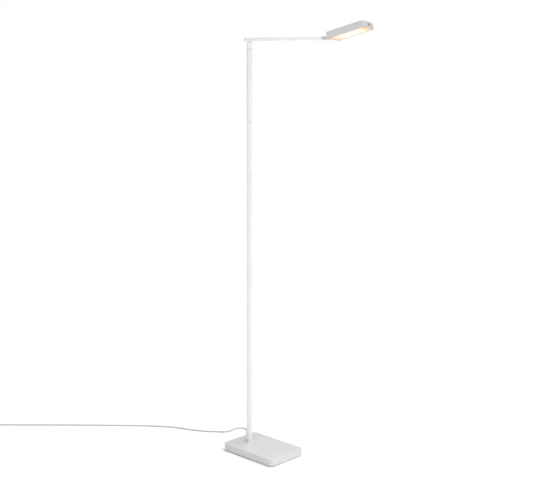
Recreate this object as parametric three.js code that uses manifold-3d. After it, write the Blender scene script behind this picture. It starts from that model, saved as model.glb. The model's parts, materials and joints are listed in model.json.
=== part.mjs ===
// Slim floor-standing reading lamp, in millimetres, +Z up.
// Origin: middle of the base's underside, on the floor. The base's long side lies along X and the
// pole stands near its -X end. The arm group turns about the pole, the head group tilts on the arm.
import * as THREE from "three";
import { mergeVertices } from "three/addons/utils/BufferGeometryUtils.js";
import Module from "manifold-3d";

const wasm = await Module();
wasm.setup();

// ---------- driving dimensions ----------
const GAP = 0.3; // clearance between pieces that touch on the real lamp
const SCREW_GAP = 0.35; // radial clearance round screws and pins

const BASE_LENGTH = 240;
const BASE_WIDTH = 160;
const BASE_TOP = 25;
const BASE_CORNER = 15;
const COVER_WALL = 2.5;
const COVER_EDGE = 1.5; // rounding of the cover's top edge
const PAD_THICKNESS = 2;
const PAD_INSET = 5;
const NUT_RECESS_RADIUS = 12;
const NUT_RECESS_TOP = 14;

const POLE_X = -67.5;
const POLE_RADIUS = 10;
const TUBE_WALL = 1.5;
const POLE_SEAM = 1162.5; // height of the joint between the two pole tubes
const POLE_TOP = 1422; // upper end of the fixed pole
const PLUG_RADIUS = POLE_RADIUS - TUBE_WALL - GAP; // what fits inside a pole tube

const STUD_RADIUS = 5;
const STUD_BOTTOM = 5.8;
const SPINDLE_BORE = 2.6;
const SPINDLE_BOTTOM = 1386;
const BUSH_BOTTOM = 1395; // the washer and the lower nut are under it
const STOP_HEIGHT = 1408; // the stop screw and the spindle's groove
const STOP_GROOVE_RADIUS = 3.9;
const STOP_LAND_ANGLE = 16; // degrees of the groove left solid, which stops the swivel
const STOP_SCREW_ANGLE = 180; // the screw faces the base's rear side

const ARM_TURN = 26; // degrees between the base's long side and the arm
const ARM_WIDTH = 22;
const ARM_HEIGHT = 13;
const ARM_WALL = 1.5;
const ARM_Z = 1457.5; // arm centre line
const ARM_REAR = -16.3; // rear face of the end cap, from the pole axis
const ARM_FRONT = 270;
const ARM_EDGE = 1.6;

const HINGE_X = 279.5; // tilt axis, from the pole axis
const TONGUE_HALF = 4.2;
const WASHER_INNER_FACE = 4.4;
const WASHER_OUTER_FACE = 5.2;
const CHEEK_INNER_FACE = 5.4;
const HUB_RADIUS = 6.5;
const TILT_PIN_RADIUS = 2.5;

const HEAD_TILT = 17; // degrees above level
const HEAD_LENGTH = 135;
const HEAD_WIDTH = 160;
const HEAD_HEIGHT = 24;
const HEAD_START = 25.4; // near end wall, from the tilt axis
const HEAD_BOTTOM = -14.5; // rim, from the tilt axis
const YOKE_FLANGE = 2.9; // thickness, with the gap to the end wall
const YOKE_SCREW_Y = 14;
const YOKE_SCREW_Z = 3.6;
const HEAD_WALL = 2.2;
const HEAD_CORNER = 8;
const HEAD_EDGE = 2.5;
const PANEL_THICKNESS = 2.5;
const PANEL_SCREW_INSET = 6.5; // from the inside of the walls
const BUTTON_Y = 6;
const BUTTON_Z = -2.5;
const BUTTON_RADIUS = 5;
const BUTTON_TRAVEL = 1.2;

const CORD_DIAMETER = 4.8;
const FLOOR_RUN = CORD_DIAMETER / 2 + 0.05; // height of the cord's middle where it lies on the floor
const GLAND_Y = 60;
const GLAND_Z = 7.5;
const GLAND_OUT = 12.5; // from the wall's outside to the boot's tip
const GLAND_IN = 8; // from the wall's inside to the boot's inner end
const GLAND_INNER_END = -BASE_LENGTH / 2 + COVER_WALL + GLAND_IN;
const COIL_RADIUS = 27.5; // middle of the turns
const COIL_BOTTOM = 1.2;
const COIL_CENTRE = [-965.3, -511.0];
const TIE_ANGLE = 150; // place of the tie on the coil, away from the cord's entry

// ---------- materials ----------
const paint = (color, roughness, metalness) =>
  new THREE.MeshStandardMaterial({ color, roughness, metalness });
const WHITE_PAINT = paint(0xf0f0ee, 0.45, 0.0);
const STEEL = paint(0xb8babc, 0.35, 0.9);
const CAST_IRON = paint(0x55565a, 0.7, 0.6);
const BLACK_RUBBER = paint(0x2c2c2e, 0.9, 0.0);
const WHITE_PLASTIC = paint(0xe9e9e6, 0.5, 0.0);
const BLACK_PLASTIC = paint(0x17171a, 0.35, 0.0);
const OPAL = paint(0xfff3d6, 0.4, 0.0);
const BOARD = paint(0xf4f4f0, 0.5, 0.1);
const ALUMINIUM = paint(0xc9cbcd, 0.4, 0.9);
const BRASS = paint(0xb9975a, 0.35, 0.9);
const CORD_GREY = paint(0xc4c4c2, 0.6, 0.0);

// ---------- solid helpers ----------
// A closed geometry as a manifold solid.
function solidOf(geometry) {
  const bare = geometry.clone();
  bare.deleteAttribute("normal");
  bare.deleteAttribute("uv");
  const merged = mergeVertices(bare, 1e-4);
  return new wasm.Manifold(
    new wasm.Mesh({
      numProp: 3,
      vertProperties: merged.attributes.position.array,
      triVerts: new Uint32Array(merged.index.array),
    }),
  );
}

function geometryOf(solid) {
  const mesh = solid.getMesh();
  const geometry = new THREE.BufferGeometry();
  geometry.setAttribute("position", new THREE.BufferAttribute(mesh.vertProperties, mesh.numProp));
  geometry.setIndex(new THREE.BufferAttribute(mesh.triVerts, 1));
  return geometry;
}

function cut(body, ...tools) {
  return geometryOf(tools.map(solidOf).reduce((left, tool) => left.subtract(tool), solidOf(body)));
}

function join(...bodies) {
  return geometryOf(bodies.map(solidOf).reduce((sum, next) => sum.add(next)));
}

const rad = (degrees) => (degrees * Math.PI) / 180;

// A solid of revolution about Z: points are [radius, height], anticlockwise in that plane.
function turned(points, sides) {
  const profile = points.map(([radius, height]) => new THREE.Vector2(radius, height));
  return new THREE.LatheGeometry(profile, sides).rotateX(Math.PI / 2);
}

function rod(radius, bottom, top, sides) {
  return new THREE.CylinderGeometry(radius, radius, top - bottom, sides)
    .rotateX(Math.PI / 2)
    .translate(0, 0, (bottom + top) / 2);
}

function ring(outer, inner, bottom, top, sides) {
  const corners = [[inner, bottom], [outer, bottom], [outer, top], [inner, top], [inner, bottom]];
  return turned(corners, sides);
}

function box(x0, x1, y0, y1, z0, z1) {
  const centre = [(x0 + x1) / 2, (y0 + y1) / 2, (z0 + z1) / 2];
  return new THREE.BoxGeometry(x1 - x0, y1 - y0, z1 - z0).translate(...centre);
}

// Turns a piece made along Z so that it lies along X or Y.
const alongX = (geometry) => geometry.rotateY(Math.PI / 2);
const alongY = (geometry) => geometry.rotateX(-Math.PI / 2);

function roundedOutline(length, width, radius) {
  const x = length / 2;
  const y = width / 2;
  const shape = new THREE.Shape();
  shape.moveTo(-x + radius, -y);
  shape.lineTo(x - radius, -y);
  shape.absarc(x - radius, -y + radius, radius, -Math.PI / 2, 0, false);
  shape.lineTo(x, y - radius);
  shape.absarc(x - radius, y - radius, radius, 0, Math.PI / 2, false);
  shape.lineTo(-x + radius, y);
  shape.absarc(-x + radius, y - radius, radius, Math.PI / 2, Math.PI, false);
  shape.lineTo(-x, -y + radius);
  shape.absarc(-x + radius, -y + radius, radius, Math.PI, Math.PI * 1.5, false);
  return shape;
}

function slab(length, width, radius, bottom, top, cornerSteps = 6) {
  return new THREE.ExtrudeGeometry(roundedOutline(length, width, radius), {
    depth: top - bottom,
    bevelEnabled: false,
    curveSegments: cornerSteps,
  }).translate(0, 0, bottom);
}

// A slab whose top edge is rounded; its bottom edge stays square.
function softTopSlab(length, width, radius, bottom, top, edge) {
  const outline = roundedOutline(length - 2 * edge, width - 2 * edge, radius - edge);
  const soft = new THREE.ExtrudeGeometry(outline, {
    depth: top - bottom,
    bevelThickness: edge,
    bevelSize: edge,
    bevelSegments: 3,
    curveSegments: 6,
  }).translate(0, 0, bottom - edge);
  return cut(soft, box(-length, length, -width, width, bottom - 3 * edge, bottom));
}

function hexagon(acrossFlats, hole, bottom, top) {
  const nut = rod(acrossFlats / Math.sqrt(3), bottom, top, 6);
  return cut(nut, rod(hole, bottom - 1, top + 1, 16));
}

// A round tube or wire along a smooth curve through the points.
function tubeAlong(points, radius, sides, steps) {
  const knots = points.map((point) => new THREE.Vector3(...point));
  const path = new THREE.CatmullRomCurve3(knots, false, "centripetal");
  const section = new THREE.Shape();
  for (let i = 0; i < sides; i += 1) {
    const angle = (i / sides) * 2 * Math.PI;
    const point = [radius * Math.cos(angle), radius * Math.sin(angle)];
    if (i === 0) section.moveTo(...point);
    else section.lineTo(...point);
  }
  section.closePath();
  return new THREE.ExtrudeGeometry(section, { steps, bevelEnabled: false, extrudePath: path });
}

const mesh = (name, geometry, material) => {
  const made = new THREE.Mesh(geometry, material);
  made.name = name;
  return made;
};

// ---------- base ----------
function baseParts() {
  const padTop = PAD_THICKNESS;
  const weightBottom = padTop + GAP;
  const weightTop = BASE_TOP - COVER_WALL - GAP;
  const inner = 2 * (COVER_WALL + GAP);
  const weightCorner = BASE_CORNER - COVER_WALL - GAP;
  const atPole = (geometry) => geometry.translate(POLE_X, 0, 0);

  const pad = cut(
    slab(BASE_LENGTH - 2 * PAD_INSET, BASE_WIDTH - 2 * PAD_INSET, BASE_CORNER - PAD_INSET, 0, padTop),
    atPole(rod(NUT_RECESS_RADIUS + 1, -1, padTop + 1, 24)),
  );

  // The channel leads the wires from the gland to the nut recess under the pole.
  const run = new THREE.Vector2(GLAND_INNER_END - POLE_X, GLAND_Y);
  const channel = box(0, run.length(), -4, 4, 0, GLAND_Z + 4)
    .rotateZ(run.angle())
    .translate(POLE_X, 0, 0);
  const weight = cut(
    slab(BASE_LENGTH - inner, BASE_WIDTH - inner, weightCorner, weightBottom, weightTop),
    atPole(rod(STUD_RADIUS + GAP, 0, BASE_TOP, 24)),
    atPole(rod(NUT_RECESS_RADIUS, 0, NUT_RECESS_TOP, 24)),
    channel,
    box(-BASE_LENGTH, GLAND_INNER_END + 3, GLAND_Y - 6, GLAND_Y + 6, 0, GLAND_Z + 6),
  );

  const cavityTop = BASE_TOP - COVER_WALL;
  const cavityCorner = BASE_CORNER - COVER_WALL;
  const cover = cut(
    softTopSlab(BASE_LENGTH, BASE_WIDTH, BASE_CORNER, weightBottom, BASE_TOP, COVER_EDGE),
    slab(BASE_LENGTH - 2 * COVER_WALL, BASE_WIDTH - 2 * COVER_WALL, cavityCorner, 0, cavityTop),
    atPole(rod(STUD_RADIUS + GAP, 0, BASE_TOP + 1, 24)),
    alongX(rod(4 + GAP, -10, 10, 20)).translate(-BASE_LENGTH / 2, GLAND_Y, GLAND_Z),
  );

  // Strain relief: a sleeve through the wall, a collar outside it and a tapered boot, pointing to -X.
  const wall = COVER_WALL;
  const boot = [
    [1.6, -GLAND_IN], [4, -GLAND_IN], [4, wall + GAP], [5, wall + GAP], [5, wall + GAP + 2],
    [4.3, wall + GAP + 2.6], [3.4, wall + GLAND_OUT], [1.6, wall + GLAND_OUT], [1.6, -GLAND_IN],
  ];
  const gland = turned(boot, 20)
    .rotateY(-Math.PI / 2)
    .translate(-BASE_LENGTH / 2 + wall, GLAND_Y, GLAND_Z);

  const washer = atPole(ring(11, STUD_RADIUS + GAP, 12.2, NUT_RECESS_TOP - GAP, 24));
  const nut = atPole(hexagon(16, STUD_RADIUS + GAP, 6.9, 11.9));
  return [
    mesh("anti_slip_pad", pad, BLACK_RUBBER),
    mesh("base_weight", weight, CAST_IRON),
    mesh("base_cover", cover, WHITE_PAINT),
    mesh("cord_strain_relief", gland, WHITE_PLASTIC),
    mesh("pole_washer", washer, STEEL),
    mesh("pole_nut", nut, STEEL),
  ];
}

// ---------- pole, built about its own axis ----------
function poleParts() {
  const bore = POLE_RADIUS - TUBE_WALL;
  const foot = BASE_TOP + GAP;
  const flangeHalf = 0.3;
  const seamGap = flangeHalf + GAP;
  const footPlug = turned(
    [
      [3.2, STUD_BOTTOM], [STUD_RADIUS, STUD_BOTTOM], [STUD_RADIUS, foot], [PLUG_RADIUS, foot],
      [PLUG_RADIUS, foot + 30], [3.2, foot + 30], [3.2, STUD_BOTTOM],
    ],
    24,
  );
  const joiner = turned(
    [
      [5, POLE_SEAM - 26], [PLUG_RADIUS, POLE_SEAM - 26], [PLUG_RADIUS, POLE_SEAM - flangeHalf],
      [9.6, POLE_SEAM - flangeHalf], [9.6, POLE_SEAM + flangeHalf],
      [PLUG_RADIUS, POLE_SEAM + flangeHalf], [PLUG_RADIUS, POLE_SEAM + 26],
      [5, POLE_SEAM + 26], [5, POLE_SEAM - 26],
    ],
    24,
  );
  const atStop = (geometry) =>
    alongX(geometry).rotateZ(rad(STOP_SCREW_ANGLE)).translate(0, 0, STOP_HEIGHT);
  const stopHole = () => atStop(rod(2.35, 2, 12, 12));
  const upperTube = cut(ring(POLE_RADIUS, bore, POLE_SEAM + seamGap, POLE_TOP - GAP, 32), stopHole());
  const bush = cut(
    turned(
      [
        [STUD_RADIUS + GAP, BUSH_BOTTOM], [PLUG_RADIUS, BUSH_BOTTOM], [PLUG_RADIUS, POLE_TOP],
        [9.7, POLE_TOP], [9.7, POLE_TOP + 1.2], [STUD_RADIUS + GAP, POLE_TOP + 1.2],
        [STUD_RADIUS + GAP, BUSH_BOTTOM],
      ],
      24,
    ),
    stopHole(),
  );
  const tip = STOP_GROOVE_RADIUS + GAP;
  const screwSide = [[0, tip], [1.4, tip], [1.4, 5.7], [2, 5.7], [2, 9.6], [0, 9.6]];
  const stopScrew = atStop(turned(screwSide, 12));

  const group = new THREE.Group();
  group.position.set(POLE_X, 0, 0);
  group.add(
    mesh("pole_foot_plug", footPlug, STEEL),
    mesh("lower_pole_tube", ring(POLE_RADIUS, bore, foot, POLE_SEAM - seamGap, 32), WHITE_PAINT),
    mesh("pole_joiner", joiner, STEEL),
    mesh("upper_pole_tube", upperTube, WHITE_PAINT),
    mesh("swivel_bush", bush, WHITE_PLASTIC),
    mesh("swivel_stop_screw", stopScrew, STEEL),
  );
  return group;
}

// Supply wires from the gland through the base's channel, then straight up the pole.
function poleWires() {
  const radius = 1.2;
  const start = GLAND_INNER_END + 0.5;
  const bend = [
    [start, GLAND_Y, GLAND_Z], [start + 9, GLAND_Y * 0.79, 5.8], [start + 21, GLAND_Y * 0.5, 4.3],
    [POLE_X - 9, 12, 3.9], [POLE_X - 2.5, 3.4, 4], [POLE_X - 0.3, 0.4, 7.5], [POLE_X, 0, 13],
    [POLE_X, 0, 22],
  ];
  const throughBase = tubeAlong(bend, radius, 8, 50);
  const upThePole = rod(radius, 21, 1380, 8).translate(POLE_X, 0, 0);
  return mesh("pole_wires", join(throughBase, upThePole), BLACK_PLASTIC);
}

// ---------- swivelling arm, built from the pole axis along X ----------
function spindle() {
  const grooveHalf = 2.5;
  const body = turned(
    [
      [SPINDLE_BORE, SPINDLE_BOTTOM], [STUD_RADIUS, SPINDLE_BOTTOM],
      [STUD_RADIUS, STOP_HEIGHT - grooveHalf], [STOP_GROOVE_RADIUS, STOP_HEIGHT - grooveHalf],
      [STOP_GROOVE_RADIUS, STOP_HEIGHT + grooveHalf], [STUD_RADIUS, STOP_HEIGHT + grooveHalf],
      [STUD_RADIUS, ARM_Z + 0.7], [SPINDLE_BORE, ARM_Z + 0.7], [SPINDLE_BORE, SPINDLE_BOTTOM],
    ],
    24,
  );
  // The land points to the front of the base, opposite the stop screw, at the middle of the swivel.
  const land = new THREE.Shape();
  const start = rad(-ARM_TURN - STOP_LAND_ANGLE / 2);
  const end = rad(-ARM_TURN + STOP_LAND_ANGLE / 2);
  land.absarc(0, 0, STUD_RADIUS - 0.1, start, end, false);
  land.absarc(0, 0, STOP_GROOVE_RADIUS - 0.4, end, start, true);
  land.closePath();
  const stop = new THREE.ExtrudeGeometry(land, {
    depth: 2 * grooveHalf + 0.4,
    bevelEnabled: false,
    curveSegments: 4,
  }).translate(0, 0, STOP_HEIGHT - grooveHalf - 0.2);
  return join(body, stop);
}

function armTube() {
  const section = roundedOutline(ARM_HEIGHT, ARM_WIDTH, ARM_EDGE);
  section.holes.push(roundedOutline(ARM_HEIGHT - 2 * ARM_WALL, ARM_WIDTH - 2 * ARM_WALL, 0.5));
  const rear = ARM_REAR + 1.8;
  const tube = new THREE.ExtrudeGeometry(section, {
    depth: ARM_FRONT - rear,
    bevelEnabled: false,
    curveSegments: 4,
  })
    .rotateY(Math.PI / 2)
    .translate(rear, 0, ARM_Z);
  return cut(
    tube,
    rod(STUD_RADIUS + GAP, ARM_Z - ARM_HEIGHT, ARM_Z, 24),
    rod(1.5 + SCREW_GAP, ARM_Z - ARM_HEIGHT, ARM_Z, 12).translate(ARM_FRONT - 12, 0, 0),
  );
}

// The insert's plug, end plate and tongue, with the hub that the tilt pin passes through.
function armEndTongue() {
  const plugHalfY = ARM_WIDTH / 2 - ARM_WALL - GAP;
  const plugHalfZ = ARM_HEIGHT / 2 - ARM_WALL - GAP;
  const plug = box(ARM_FRONT - 24, ARM_FRONT - 1, -plugHalfY, plugHalfY, -plugHalfZ, plugHalfZ);
  const tongue = box(ARM_FRONT - 2, HINGE_X, -TONGUE_HALF, TONGUE_HALF, -4.4, 4.4);
  const hub = alongY(rod(HUB_RADIUS - GAP, -TONGUE_HALF, TONGUE_HALF, 24)).translate(HINGE_X, 0, 0);
  return cut(
    join(plug, tongue, hub),
    alongY(rod(TILT_PIN_RADIUS + GAP, -20, 20, 16)).translate(HINGE_X, 0, 0),
    alongX(rod(1.6, ARM_FRONT - 30, ARM_FRONT + 5, 12)).translate(0, 6.8, 0),
    rod(1.5 + SCREW_GAP, -ARM_HEIGHT, 2, 12).translate(ARM_FRONT - 12, 0, 0),
  ).translate(0, 0, ARM_Z);
}

function armParts() {
  const collarTop = ARM_Z - ARM_HEIGHT / 2 - GAP;
  const hole = STUD_RADIUS + GAP;
  const armFloor = ARM_Z - ARM_HEIGHT / 2 + ARM_WALL;
  const capX = ARM_REAR + 1.5;
  const cap = join(
    new THREE.ExtrudeGeometry(roundedOutline(ARM_HEIGHT, ARM_WIDTH, ARM_EDGE), {
      depth: 1.5,
      bevelEnabled: false,
      curveSegments: 4,
    })
      .rotateY(Math.PI / 2)
      .translate(ARM_REAR, 0, ARM_Z),
    box(capX - 0.5, capX + 5.6, -9.1, 9.1, ARM_Z - 4.6, ARM_Z + 4.6),
  );
  const underside = ARM_Z - ARM_HEIGHT / 2;
  const tongueScrew = turned(
    [
      [0, underside - 1.6], [2.6, underside - 1.6], [2.8, underside - GAP], [1.5, underside - GAP],
      [1.5, ARM_Z + 1], [0, ARM_Z + 1],
    ],
    12,
  ).translate(ARM_FRONT - 12, 0, 0);
  const washer = (side) => {
    const faces = [side * WASHER_INNER_FACE, side * WASHER_OUTER_FACE].sort((a, b) => a - b);
    const disc = ring(6.0, TILT_PIN_RADIUS + GAP, faces[0], faces[1], 20);
    return alongY(disc).translate(HINGE_X, 0, ARM_Z);
  };
  const wires = [
    [0, 0, SPINDLE_BOTTOM + 2], [0, 0, POLE_TOP - 2], [0, 0, ARM_Z - 2], [2.2, 0.3, ARM_Z + 2.8],
    [12, 2, ARM_Z + 3], [80, 3, ARM_Z - 1], [160, -2, ARM_Z - 3], [215, 3, ARM_Z - 1],
    [ARM_FRONT - 26, 6.5, ARM_Z],
  ];
  return [
    mesh("swivel_spindle", spindle(), STEEL),
    mesh("spindle_lower_nut", hexagon(13, hole, SPINDLE_BOTTOM + 1.5, BUSH_BOTTOM - 3), STEEL),
    mesh("swivel_friction_washer", ring(7.6, hole, BUSH_BOTTOM - 2.7, BUSH_BOTTOM - GAP, 24), STEEL),
    mesh("arm_collar", ring(POLE_RADIUS, hole, POLE_TOP + 1.5, collarTop, 32), WHITE_PAINT),
    mesh("spindle_upper_nut", hexagon(13, hole, armFloor + GAP, ARM_Z - 0.3), STEEL),
    mesh("arm_tube", armTube(), WHITE_PAINT),
    mesh("arm_rear_cap", cap, WHITE_PLASTIC),
    mesh("arm_end_tongue", armEndTongue(), STEEL),
    mesh("tongue_screw", tongueScrew, STEEL),
    mesh("tilt_friction_washer_1", washer(-1), BLACK_PLASTIC),
    mesh("tilt_friction_washer_2", washer(1), BLACK_PLASTIC),
    mesh("arm_wires", tubeAlong(wires, 0.9, 6, 40), BLACK_PLASTIC),
  ];
}

// ---------- tilting head, built from the tilt axis along X ----------
function headYoke() {
  const neckEnd = HEAD_START - YOKE_FLANGE;
  const side = new THREE.Shape();
  side.moveTo(0, HUB_RADIUS);
  side.absarc(0, 0, HUB_RADIUS, Math.PI / 2, Math.PI * 1.5, false);
  side.lineTo(neckEnd + 1, -13.0);
  side.lineTo(neckEnd + 1, YOKE_SCREW_Z);
  side.closePath();
  const neck = new THREE.ExtrudeGeometry(side, {
    depth: ARM_WIDTH,
    bevelEnabled: false,
    curveSegments: 12,
  })
    .rotateX(Math.PI / 2)
    .translate(0, ARM_WIDTH / 2, 0);
  const flange = box(neckEnd, HEAD_START - GAP, -17, 17, -13.4, 6.8);
  const screwHole = (y) =>
    alongX(rod(1.5 + SCREW_GAP, 0, HEAD_START, 12)).translate(10, y, YOKE_SCREW_Z);
  return cut(
    join(neck, flange),
    box(-HUB_RADIUS - 1, 9.2, -CHEEK_INNER_FACE, CHEEK_INNER_FACE, -20, 20),
    alongY(rod(TILT_PIN_RADIUS + GAP, -20, 20, 16)),
    alongX(rod(1.6, 5, HEAD_START + 1, 12)).translate(0, 0, -4),
    screwHole(-YOKE_SCREW_Y),
    screwHole(YOKE_SCREW_Y),
  );
}

function headHousing() {
  const middle = HEAD_START + HEAD_LENGTH / 2;
  const end = HEAD_START + HEAD_LENGTH;
  const top = HEAD_BOTTOM + HEAD_HEIGHT;
  const ceiling = top - HEAD_WALL;
  const cavityLength = HEAD_LENGTH - 2 * HEAD_WALL;
  const cavityWidth = HEAD_WIDTH - 2 * HEAD_WALL;
  const shell = cut(
    softTopSlab(HEAD_LENGTH, HEAD_WIDTH, HEAD_CORNER, HEAD_BOTTOM, top, HEAD_EDGE),
    slab(cavityLength, cavityWidth, HEAD_CORNER - HEAD_WALL, HEAD_BOTTOM - 5, ceiling),
  ).translate(middle, 0, 0);
  const bossBottom = HEAD_BOTTOM + GAP + PANEL_THICKNESS + GAP;
  const boss = ([x, y]) => rod(4.2, bossBottom, ceiling + 0.5, 16).translate(x, y, 0);
  const bossHole = ([x, y]) => rod(1.5, bossBottom - 1, 2, 12).translate(x, y, 0);
  const yokeHole = (y) =>
    alongX(rod(1.5 + SCREW_GAP, -5, 5, 12)).translate(HEAD_START, y, YOKE_SCREW_Z);
  return cut(
    join(shell, ...panelScrewPlaces().map(boss)),
    ...panelScrewPlaces().map(bossHole),
    yokeHole(-YOKE_SCREW_Y),
    yokeHole(YOKE_SCREW_Y),
    alongX(rod(1.6, -5, 5, 12)).translate(HEAD_START, 0, -4),
    alongX(rod(BUTTON_RADIUS + GAP, -5, 5, 24)).translate(end, BUTTON_Y, BUTTON_Z),
  );
}

function panelScrewPlaces() {
  const inset = HEAD_WALL + PANEL_SCREW_INSET;
  const y = HEAD_WIDTH / 2 - inset;
  const near = HEAD_START + inset;
  const far = HEAD_START + HEAD_LENGTH - inset;
  return [[near, -y], [near, y], [far, -y], [far, y]];
}

function headParts() {
  const middle = HEAD_START + HEAD_LENGTH / 2;
  const end = HEAD_START + HEAD_LENGTH;
  const panelBottom = HEAD_BOTTOM + GAP;
  const panelTop = panelBottom + PANEL_THICKNESS;
  const slack = 2 * (HEAD_WALL + GAP);
  const panelHole = ([x, y]) => rod(1.5, panelBottom - 1, panelTop + 1, 12).translate(x, y, 0);
  const panel = cut(
    slab(HEAD_LENGTH - slack, HEAD_WIDTH - slack, HEAD_CORNER - HEAD_WALL - GAP, panelBottom, panelTop)
      .translate(middle, 0, 0),
    ...panelScrewPlaces().map(panelHole),
  );
  const frameTop = panelTop + GAP + 2.4;
  const reflector = cut(
    box(middle - 53, middle + 53, -77, 77, panelTop + GAP, frameTop),
    box(middle - 45, middle + 45, -62, 62, panelBottom, frameTop + 1),
  );
  const boardTop = frameTop + GAP + 1.6;
  const ledBoard = box(middle - 52, middle + 52, -68, 68, frameTop + GAP, boardTop);
  const spreader = box(middle - 53, middle + 53, -70, 70, boardTop + GAP, boardTop + GAP + 2);
  const driverTop = HEAD_BOTTOM + HEAD_HEIGHT - HEAD_WALL - 1;
  const driver = box(middle + 8, middle + 46, -26, 26, boardTop + GAP + 2.6, driverTop);

  const neckEnd = HEAD_START - YOKE_FLANGE;
  const yokeScrew = (y) =>
    alongX(turned([[0, 0], [2.5, 0.3], [2.7, 1.5], [1.5, 1.5], [1.5, 9.5], [0, 9.5]], 12))
      .translate(neckEnd - 1.8, y, YOKE_SCREW_Z);
  const panelScrew = ([x, y]) =>
    turned([[0, -0.9], [1.9, -0.9], [2.5, 0], [1.2, 0], [1.2, 7], [0, 7]], 12)
      .translate(x, y, panelBottom - 0.2);

  const wallInside = end - HEAD_WALL;
  const button = alongX(
    turned(
      [
        [0, wallInside - 1.9], [6.4, wallInside - 1.9], [6.4, wallInside - GAP],
        [BUTTON_RADIUS, wallInside - GAP], [BUTTON_RADIUS, end + 0.5],
        [BUTTON_RADIUS - 0.6, end + 1.1], [0, end + 1.1],
      ],
      24,
    ),
  ).translate(0, BUTTON_Y, BUTTON_Z);
  const switchFace = wallInside - 1.9 - BUTTON_TRAVEL - GAP;
  const buttonSwitch = box(
    switchFace - 4.5, switchFace, BUTTON_Y - 5, BUTTON_Y + 5, BUTTON_Z - 2.6, BUTTON_Z + 5,
  );

  const pin = alongY(
    turned(
      [
        [0, -12.9], [3.6, -12.9], [4.2, -12.4], [4.2, -ARM_WIDTH / 2 - GAP],
        [TILT_PIN_RADIUS, -ARM_WIDTH / 2 - GAP], [TILT_PIN_RADIUS, 13.2], [0, 13.2],
      ],
      16,
    ),
  );
  const lockNut = alongY(ring(4.4, TILT_PIN_RADIUS + GAP, ARM_WIDTH / 2 + GAP, 13.8, 16));
  const wires = [
    [HEAD_START - 8, 0, -4], [HEAD_START + 8, 0, -3], [middle - 30, -6, 1.5], [middle + 7, -8, 3],
  ];
  return [
    mesh("head_yoke", headYoke(), WHITE_PAINT),
    mesh("tilt_pin", pin, STEEL),
    mesh("tilt_lock_nut", lockNut, STEEL),
    mesh("yoke_screw_1", yokeScrew(-YOKE_SCREW_Y), STEEL),
    mesh("yoke_screw_2", yokeScrew(YOKE_SCREW_Y), STEEL),
    mesh("head_housing", headHousing(), WHITE_PAINT),
    mesh("diffuser_panel", panel, OPAL),
    mesh("reflector_frame", reflector, WHITE_PLASTIC),
    mesh("led_board", ledBoard, BOARD),
    mesh("heat_spreader", spreader, ALUMINIUM),
    mesh("led_driver", driver, BLACK_PLASTIC),
    mesh("dimmer_switch", buttonSwitch, BLACK_PLASTIC),
    mesh("push_button", button, BLACK_PLASTIC),
    mesh("head_wires", tubeAlong(wires, 0.9, 6, 14), BLACK_PLASTIC),
    ...panelScrewPlaces().map((place, i) => mesh(`panel_screw_${i + 1}`, panelScrew(place), STEEL)),
  ];
}

// ---------- mains cord ----------
// From the strain relief down to the floor, round the bend behind the pole, then away to the left.
const CORD_ROUTE = [
  [-132.8, 60, 7.5], [-140, 60.5, 7], [-147, 62.5, 5.5], [-153, 66.5, 3.8], [-159, 73.5, 2.6],
  [-168, 86, FLOOR_RUN], [-184, 105, FLOOR_RUN], [-203, 119, FLOOR_RUN], [-215, 122, FLOOR_RUN],
  [-226, 119, FLOOR_RUN], [-235, 110, FLOOR_RUN], [-239, 98, FLOOR_RUN], [-238, 86, FLOOR_RUN],
  [-236, 75, FLOOR_RUN], [-236, 64, FLOOR_RUN], [-239, 54, FLOOR_RUN], [-245, 44, FLOOR_RUN],
  [-254, 35, FLOOR_RUN], [-272, 21, FLOOR_RUN], [-300, 0, FLOOR_RUN], [-331, -18, FLOOR_RUN],
  [-363, -33, FLOOR_RUN], [-391, -43, FLOOR_RUN], [-418, -55, FLOOR_RUN], [-462, -84, FLOOR_RUN],
  [-509, -120, FLOOR_RUN], [-557, -163, FLOOR_RUN], [-606, -208, FLOOR_RUN], [-711, -304, FLOOR_RUN],
  [-849, -436, FLOOR_RUN], [-890, -476, FLOOR_RUN], [-930.9, -515.9, FLOOR_RUN],
];
// From the coil to the plug, which lies beside it.
const TAIL_ROUTE = [
  [-972, -545.9, 8.4], [-982, -547, 5.6], [-991, -548.3, 5.2], [-999, -549, 6.4], [-1006, -549, 6.6],
];
const PLUG_ORIGIN = [-1006.6, -549, 6.6];

function cordParts() {
  const radius = CORD_DIAMETER / 2;
  const coilTop = COIL_BOTTOM + 2 * CORD_DIAMETER;
  const [cx, cy] = COIL_CENTRE;
  const coil = ring(COIL_RADIUS + CORD_DIAMETER, COIL_RADIUS - CORD_DIAMETER, COIL_BOTTOM, coilTop, 36)
    .translate(cx, cy, 0);

  // A flat strap once round the section of the coil.
  const strap = 0.6;
  const reach = CORD_DIAMETER + 2 * GAP;
  const below = COIL_BOTTOM - GAP;
  const above = coilTop + GAP;
  const tie = cut(
    box(-reach - strap, reach + strap, -4, 4, below - strap, above + strap),
    box(-reach, reach, -6, 6, below, above),
  )
    .translate(COIL_RADIUS, 0, 0)
    .rotateZ(rad(TIE_ANGLE))
    .translate(cx, cy, 0);
  return [
    mesh("mains_cord", tubeAlong(CORD_ROUTE, radius, 8, 78), CORD_GREY),
    mesh("mains_cord_coil", coil, CORD_GREY),
    mesh("mains_cord_tail", tubeAlong(TAIL_ROUTE, radius, 8, 6), CORD_GREY),
    mesh("coil_tie", tie, BLACK_PLASTIC),
  ];
}

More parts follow.
